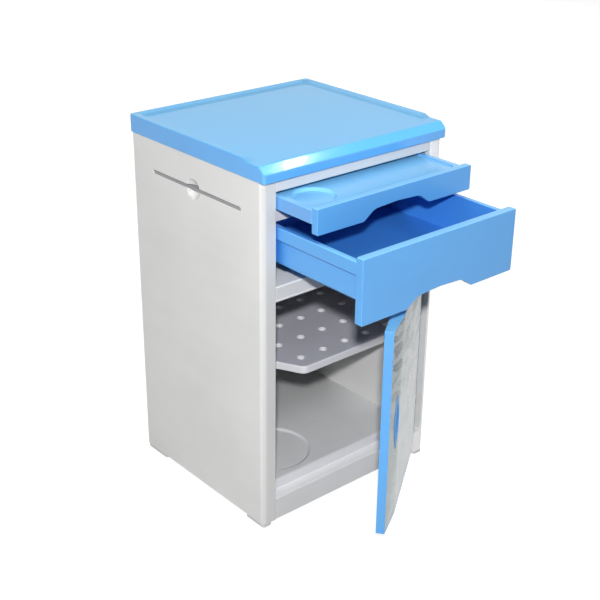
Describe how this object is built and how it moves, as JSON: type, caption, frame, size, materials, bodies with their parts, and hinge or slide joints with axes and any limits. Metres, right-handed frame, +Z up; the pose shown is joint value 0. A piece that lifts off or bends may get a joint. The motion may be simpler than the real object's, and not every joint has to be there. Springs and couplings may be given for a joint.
{
  "type": "bedside cabinet",
  "caption": "Moulded hospital bedside cabinet with rimmed blue top, pull-out tray, deep drawer, side towel rack and a hinged door over a shelved compartment.",
  "frame": {"origin": "on the floor, at the bottom centre of the bounding box in the rest pose, with tray and drawer pulled out and the door part open", "axes": "+Z up; the front faces -Y; +X is to the right of someone facing the front"},
  "size_m": [0.4594, 0.6356, 0.76],
  "materials": {
    "white_abs": "semi-gloss moulded",
    "grey_white_abs": "satin moulded",
    "sky_blue_abs": "gloss moulded",
    "blue_abs": "gloss moulded",
    "leaf_film": "gloss film with a pale leaf pattern",
    "rack_grey": "satin moulded",
    "bright_steel": "plated",
    "dark_steel": "blackened"
  },
  "bodies": {
    "carcass": {"left_side": "white_abs", "right_side": "white_abs", "back_panel": "white_abs", "top_rail": "white_abs", "partition": "white_abs", "divider": "white_abs", "base_frame": "white_abs", "magnet_catch": "white_abs", "shelf_ledge_left": "white_abs", "shelf_ledge_right": "white_abs", "tray_guide_left": "white_abs", "tray_guide_right": "white_abs", "drawer_runner_left": "white_abs", "drawer_runner_right": "white_abs", "foot_front_left": "white_abs", "foot_front_right": "white_abs", "foot_rear_left": "white_abs", "foot_rear_right": "white_abs", "floor_tray": "grey_white_abs", "shelf": "grey_white_abs", "top_panel": "sky_blue_abs", "hinge_rod": "dark_steel", "back_screw_left_0": "bright_steel", "back_screw_left_1": "bright_steel", "back_screw_left_2": "bright_steel", "back_screw_right_0": "bright_steel", "back_screw_right_1": "bright_steel", "back_screw_right_2": "bright_steel"},
    "tray": {"tray_front": "blue_abs", "tray_pan": "sky_blue_abs"},
    "drawer": {"drawer_front": "blue_abs", "drawer_box": "blue_abs"},
    "door": {"door_shell": "blue_abs", "door_film": "leaf_film", "door_liner": "grey_white_abs", "handle_cup": "blue_abs", "hinge_barrel_lower": "white_abs", "hinge_barrel_upper": "white_abs", "strike_plate": "bright_steel"},
    "rack": {"towel_rack": "rack_grey"}
  },
  "joints": [
    {"name": "tray_slide", "type": "slide", "parent": "carcass", "child": "tray", "axis": [0, -1, 0], "range_m": [-0.1085, 0.12]},
    {"name": "drawer_slide", "type": "slide", "parent": "carcass", "child": "drawer", "axis": [0, -1, 0], "range_m": [-0.224, 0.03]},
    {"name": "door_hinge", "type": "hinge", "parent": "carcass", "child": "door", "pos_m": [0.204, -0.07945, 0.2734], "axis": [0, 0, 1], "range_deg": [-36, 54]},
    {"name": "rack_slide", "type": "slide", "parent": "carcass", "child": "rack", "axis": [-1, 0, 0], "range_m": [0, 0.22]}
  ]
}
